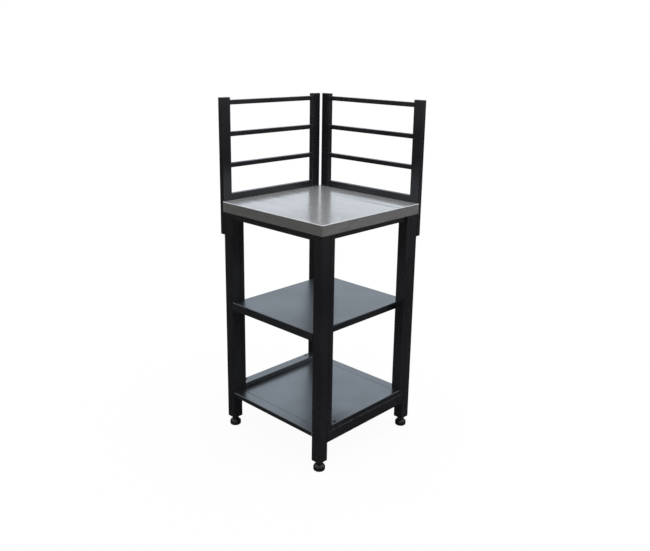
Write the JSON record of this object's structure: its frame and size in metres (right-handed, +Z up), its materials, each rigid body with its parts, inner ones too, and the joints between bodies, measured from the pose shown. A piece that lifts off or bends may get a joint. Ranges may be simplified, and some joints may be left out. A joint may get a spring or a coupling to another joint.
{
  "type": "outdoor kitchen corner unit",
  "caption": "Free-standing square outdoor kitchen unit: brushed steel worktop on a black tube frame with shelf, bottom plate, screw feet and ladder racks on two sides.",
  "frame": {"origin": "on the floor, below the middle of the outer box that the worktop and the racks make", "axes": "+Z up; -Y is the front, +Y the side of the back rack, +X the side of the right rack; the picture looks from the front left corner"},
  "size_m": [0.5282, 0.5282, 1.26],
  "materials": {
    "black_coat": "satin powder coat",
    "stainless": "fine brushed, satin",
    "core_board": "waterproof plywood with sealed edges",
    "black_plastic": "moulded, fine grain",
    "foot_plastic": "moulded nylon, satin",
    "foot_steel": "black oxide",
    "zinc_steel": "zinc plated",
    "black_screw": "black oxide"
  },
  "bodies": {
    "frame": {"back_rack_post_left": "black_coat", "back_rack_post_right": "black_coat", "back_rack_rung_1": "black_coat", "back_rack_rung_2": "black_coat", "back_rack_rung_3": "black_coat", "back_rack_rung_4": "black_coat", "bottom_channel_left": "black_coat", "bottom_channel_right": "black_coat", "bottom_plate": "black_coat", "head_rail_back": "black_coat", "head_rail_front": "black_coat", "leg_back_left": "black_coat", "leg_back_right": "black_coat", "leg_front_left": "black_coat", "leg_front_right": "black_coat", "leg_nut_back_left": "zinc_steel", "leg_nut_back_right": "zinc_steel", "leg_nut_front_left": "zinc_steel", "leg_nut_front_right": "zinc_steel", "lower_beam_back": "black_coat", "lower_beam_front": "black_coat", "mid_shelf": "black_coat", "panel_sill_back": "black_coat", "panel_sill_front": "black_coat", "panel_upright_back_left": "black_coat", "panel_upright_back_right": "black_coat", "panel_upright_front_left": "black_coat", "panel_upright_front_right": "black_coat", "rack_bolts": "black_screw", "rack_post_caps": "black_coat", "rack_shims": "black_plastic", "right_rack_post_back": "black_coat", "right_rack_post_front": "black_coat", "right_rack_rung_1": "black_coat", "right_rack_rung_2": "black_coat", "right_rack_rung_3": "black_coat", "right_rack_rung_4": "black_coat", "shelf_bolts": "black_screw", "side_rail_left": "black_coat", "side_rail_right": "black_coat", "worktop_core": "core_board", "worktop_shell": "stainless"},
    "pad_front_left": {"foot_pad_front_left": "foot_plastic"},
    "stud_front_left": {"foot_stud_front_left": "foot_steel"},
    "pad_front_right": {"foot_pad_front_right": "foot_plastic"},
    "stud_front_right": {"foot_stud_front_right": "foot_steel"},
    "pad_back_left": {"foot_pad_back_left": "foot_plastic"},
    "stud_back_left": {"foot_stud_back_left": "foot_steel"},
    "pad_back_right": {"foot_pad_back_right": "foot_plastic"},
    "stud_back_right": {"foot_stud_back_right": "foot_steel"}
  },
  "joints": [
    {"name": "foot_lift_front_left", "type": "slide", "parent": "frame", "child": "pad_front_left", "axis": [0, 0, -1], "range_m": [0, 0.025]},
    {"name": "foot_screw_front_left", "type": "hinge", "parent": "pad_front_left", "child": "stud_front_left", "pos_m": [-0.24165, -0.24165, 0.03], "axis": [0, 0, -1], "range_deg": [0, 6001]},
    {"name": "foot_lift_front_right", "type": "slide", "parent": "frame", "child": "pad_front_right", "axis": [0, 0, -1], "range_m": [0, 0.025]},
    {"name": "foot_screw_front_right", "type": "hinge", "parent": "pad_front_right", "child": "stud_front_right", "pos_m": [0.21835, -0.24165, 0.03], "axis": [0, 0, -1], "range_deg": [0, 6001]},
    {"name": "foot_lift_back_left", "type": "slide", "parent": "frame", "child": "pad_back_left", "axis": [0, 0, -1], "range_m": [0, 0.025]},
    {"name": "foot_screw_back_left", "type": "hinge", "parent": "pad_back_left", "child": "stud_back_left", "pos_m": [-0.24165, 0.21835, 0.03], "axis": [0, 0, -1], "range_deg": [0, 6001]},
    {"name": "foot_lift_back_right", "type": "slide", "parent": "frame", "child": "pad_back_right", "axis": [0, 0, -1], "range_m": [0, 0.025]},
    {"name": "foot_screw_back_right", "type": "hinge", "parent": "pad_back_right", "child": "stud_back_right", "pos_m": [0.21835, 0.21835, 0.03], "axis": [0, 0, -1], "range_deg": [0, 6001]}
  ],
  "couplings": [
    {"joint": "foot_screw_front_left", "follows": "foot_lift_front_left", "rad_per_m": 4188.8},
    {"joint": "foot_screw_front_right", "follows": "foot_lift_front_right", "rad_per_m": 4188.8},
    {"joint": "foot_screw_back_left", "follows": "foot_lift_back_left", "rad_per_m": 4188.8},
    {"joint": "foot_screw_back_right", "follows": "foot_lift_back_right", "rad_per_m": 4188.8}
  ]
}
